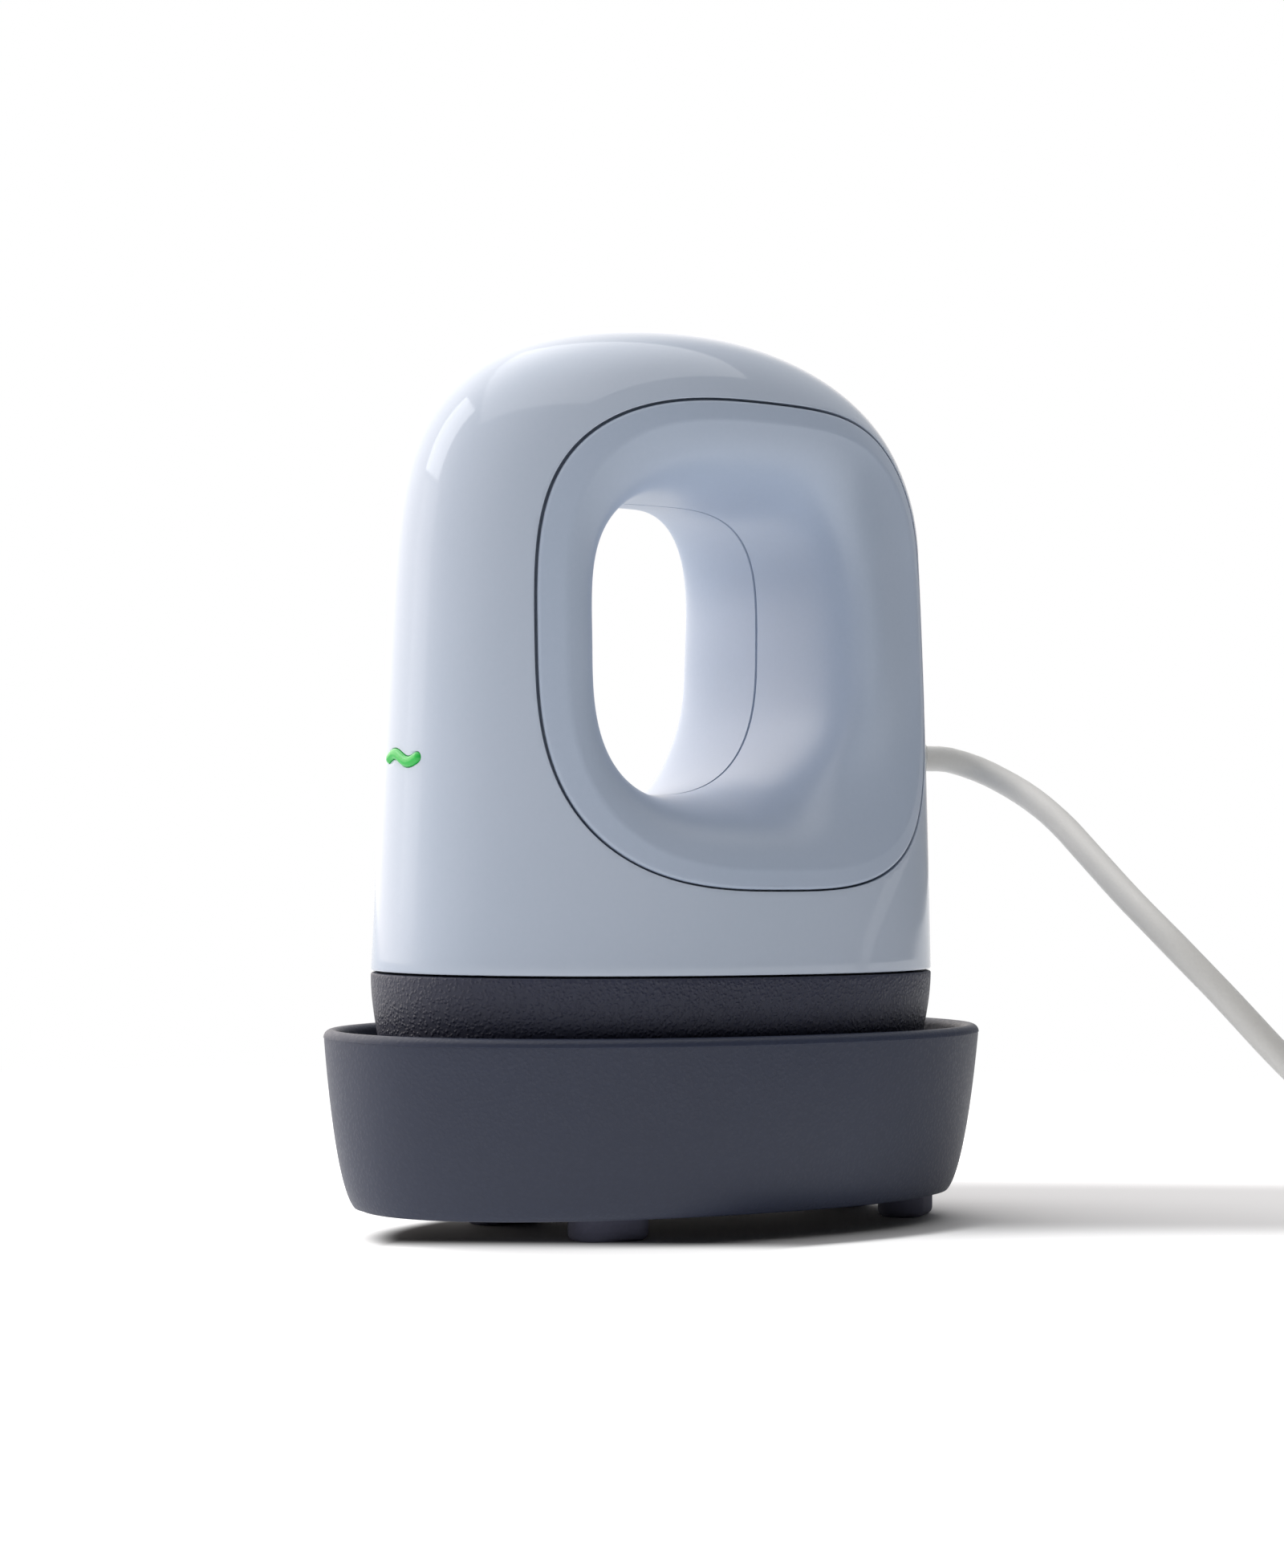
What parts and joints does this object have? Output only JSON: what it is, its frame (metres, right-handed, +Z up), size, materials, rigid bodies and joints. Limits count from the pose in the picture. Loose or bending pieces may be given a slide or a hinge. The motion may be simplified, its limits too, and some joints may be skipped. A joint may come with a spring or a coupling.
{
  "type": "mini heat press",
  "caption": "Small handheld heat press with a domed shell, a handle opening through it and a flat hot plate, standing in its safety tray, with its mains cord coiled beside it.",
  "frame": {"origin": "on the table under the middle of the press and its tray", "axes": "+X to the right as the light is faced, +Y from the light to the cord's outlet, +Z up; the table is z = 0"},
  "size_m": [0.1884, 0.154, 0.1383],
  "materials": {
    "shell": "glossy pale blue-grey",
    "insert": "satin pale blue",
    "skirt": "charcoal with a leather-like mould grain",
    "tray": "slate with a fine matte grain",
    "liner": "heat-resistant foam",
    "feet": "matte",
    "frame": "as moulded",
    "screws": "zinc plated",
    "plate": "cast, with a dark non-stick face",
    "gasket": "silicone",
    "steel": "plain sheet and tube",
    "wool": "rigid ceramic fibre board",
    "ceramic": "ceramic",
    "brass": "bright",
    "board": "green solder mask",
    "component": "moulded case",
    "capacitor": "film capacitor case",
    "lead": "silicone sleeve",
    "lens": "translucent green",
    "diode": "clear resin",
    "button": "glossy, as the shell",
    "cord": "satin light grey",
    "strap": "woven strap"
  },
  "bodies": {
    "base": {"base_tray": "tray", "tray_liner": "liner", "foot_front_right": "feet", "foot_front_left": "feet", "foot_rear_right": "feet", "foot_rear_left": "feet", "cord_run": "cord", "cord_coil": "cord", "cord_tie": "strap", "plug_body": "cord", "plug_pin_right": "brass", "plug_pin_left": "brass"},
    "press": {"outer_shell": "shell", "handle_insert_right": "insert", "handle_insert_left": "insert", "skirt": "skirt", "inner_frame": "frame", "housing_screw_front_right": "screws", "housing_screw_front_left": "screws", "housing_screw_rear_right": "screws", "housing_screw_rear_left": "screws", "heat_plate": "plate", "plate_gasket": "gasket", "heating_element": "steel", "element_clamp": "steel", "insulation_board": "wool", "heat_shield": "steel", "temperature_sensor": "ceramic", "thermal_fuse": "brass", "plate_screw_front_right": "screws", "plate_screw_front_left": "screws", "plate_screw_rear_right": "screws", "plate_screw_rear_left": "screws", "control_board": "board", "power_relay": "component", "filter_capacitor": "capacitor", "supply_module": "component", "buzzer": "component", "terminal_block": "ceramic", "heater_lead_right": "lead", "heater_lead_left": "lead", "supply_lead": "lead", "fuse_lead": "lead", "light_lens": "lens", "light_diode": "diode", "light_board": "board", "light_lead": "lead", "button_switch": "component", "switch_board": "board", "switch_lead": "lead", "cord_bushing": "cord", "cord_clamp": "frame", "clamp_screw_right": "screws", "clamp_screw_left": "screws", "inner_cord": "cord"},
    "button": {"power_button": "button"}
  },
  "joints": [
    {"name": "press_lift", "type": "slide", "parent": "base", "child": "press", "axis": [0, 0, 1], "range_m": [0, 0.06]},
    {"name": "button_press", "type": "slide", "parent": "press", "child": "button", "axis": [0, -1, 0], "range_m": [0, 0.001], "stiffness_N_per_m": 600, "springref_m": -0.0005}
  ]
}
